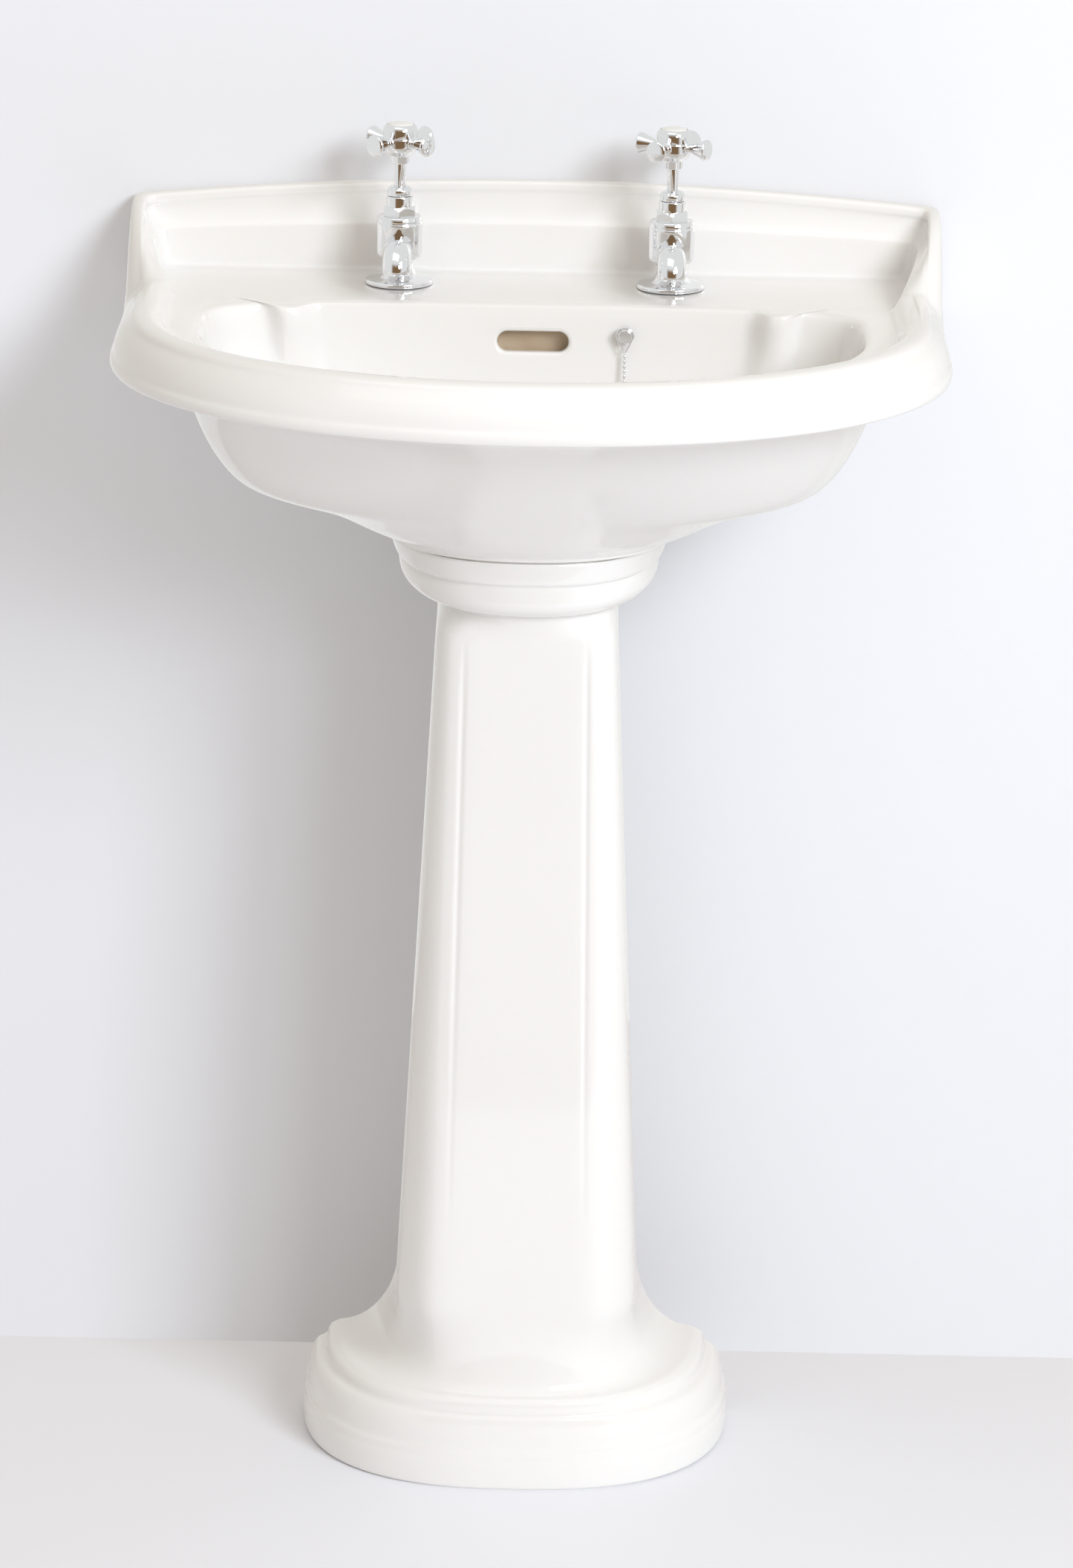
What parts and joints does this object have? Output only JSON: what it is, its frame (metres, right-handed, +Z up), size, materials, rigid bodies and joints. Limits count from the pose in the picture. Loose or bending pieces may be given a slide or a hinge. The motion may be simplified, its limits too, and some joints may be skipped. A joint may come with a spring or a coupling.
{
  "type": "pedestal sink",
  "caption": "Glazed china washbasin with splashback and soap ledges on a panelled pedestal, with two crosshead pillar taps, slotted waste, plug on a ball chain and bottle trap.",
  "frame": {"origin": "on the floor, under the middle of the basin's outline", "axes": "+Z up from the floor, +Y towards the wall that the basin's back stands against, +X to the right of someone facing the basin"},
  "size_m": [0.6, 0.45, 0.9912],
  "materials": {
    "white_china": "gloss",
    "index_china": "gloss",
    "white_sealant": "satin",
    "clear_plastic": "satin",
    "black_rubber": "matte",
    "red_fibre": "matte",
    "white_plastic": "satin",
    "brass": "satin",
    "chrome": "polished",
    "steel": "satin"
  },
  "bodies": {
    "sink": {"basin": "white_china", "pedestal": "white_china", "pedestal_seal": "white_sealant", "wall_studs": "steel", "wall_stud_sleeves": "clear_plastic", "wall_stud_nuts": "steel", "floor_screws": "steel", "floor_screw_washers": "clear_plastic", "waste_body": "chrome", "waste_flange_seal": "black_rubber", "waste_under_seal": "black_rubber", "waste_backnut": "brass", "plug_chain": "chrome", "chain_shackle": "chrome", "chain_stay": "chrome", "chain_stay_washer": "black_rubber", "chain_stay_nut": "steel", "trap_inlet_nut": "white_plastic", "trap_inlet_seal": "black_rubber", "trap_body": "white_plastic", "trap_cup": "white_plastic", "trap_cup_seal": "black_rubber", "trap_dip_tube": "white_plastic", "trap_outlet_nut": "white_plastic", "trap_outlet_seal": "black_rubber", "waste_pipe": "white_plastic", "hot_body": "chrome", "hot_base_washer": "black_rubber", "hot_tophat_washer": "clear_plastic", "hot_backnut": "brass", "hot_bonnet": "chrome", "hot_bonnet_washer": "red_fibre", "hot_gland_nut": "chrome", "hot_gland_packing": "black_rubber", "cold_body": "chrome", "cold_base_washer": "black_rubber", "cold_tophat_washer": "clear_plastic", "cold_backnut": "brass", "cold_bonnet": "chrome", "cold_bonnet_washer": "red_fibre", "cold_gland_nut": "chrome", "cold_gland_packing": "black_rubber"},
    "plug": {"plug_body": "chrome", "plug_seal": "black_rubber", "plug_ring": "chrome"},
    "hot_valve": {"hot_jumper": "brass", "hot_valve_washer": "black_rubber"},
    "cold_valve": {"cold_jumper": "brass", "cold_valve_washer": "black_rubber"},
    "hot_handle": {"hot_spindle": "chrome", "hot_crosshead": "chrome", "hot_index": "index_china", "hot_handle_screw": "steel"},
    "cold_handle": {"cold_spindle": "chrome", "cold_crosshead": "chrome", "cold_index": "index_china", "cold_handle_screw": "steel"}
  },
  "joints": [
    {"name": "hot_rise", "type": "slide", "parent": "sink", "child": "hot_valve", "axis": [0, 0, 1], "range_m": [0, 0.0045]},
    {"name": "hot_turn", "type": "hinge", "parent": "hot_valve", "child": "hot_handle", "pos_m": [-0.1, 0.167, 0.977], "axis": [0, 0, 1], "range_deg": [0, 540]},
    {"name": "cold_rise", "type": "slide", "parent": "sink", "child": "cold_valve", "axis": [0, 0, 1], "range_m": [0, 0.0045]},
    {"name": "cold_turn", "type": "hinge", "parent": "cold_valve", "child": "cold_handle", "pos_m": [0.1, 0.167, 0.977], "axis": [0, 0, 1], "range_deg": [0, 540]},
    {"name": "plug_lift", "type": "slide", "parent": "sink", "child": "plug", "axis": [0, 0, 1], "range_m": [0, 0.11]}
  ],
  "couplings": [
    {"joint": "hot_rise", "follows": "hot_turn", "m_per_rad": 0.000477},
    {"joint": "cold_rise", "follows": "cold_turn", "m_per_rad": 0.000477}
  ]
}
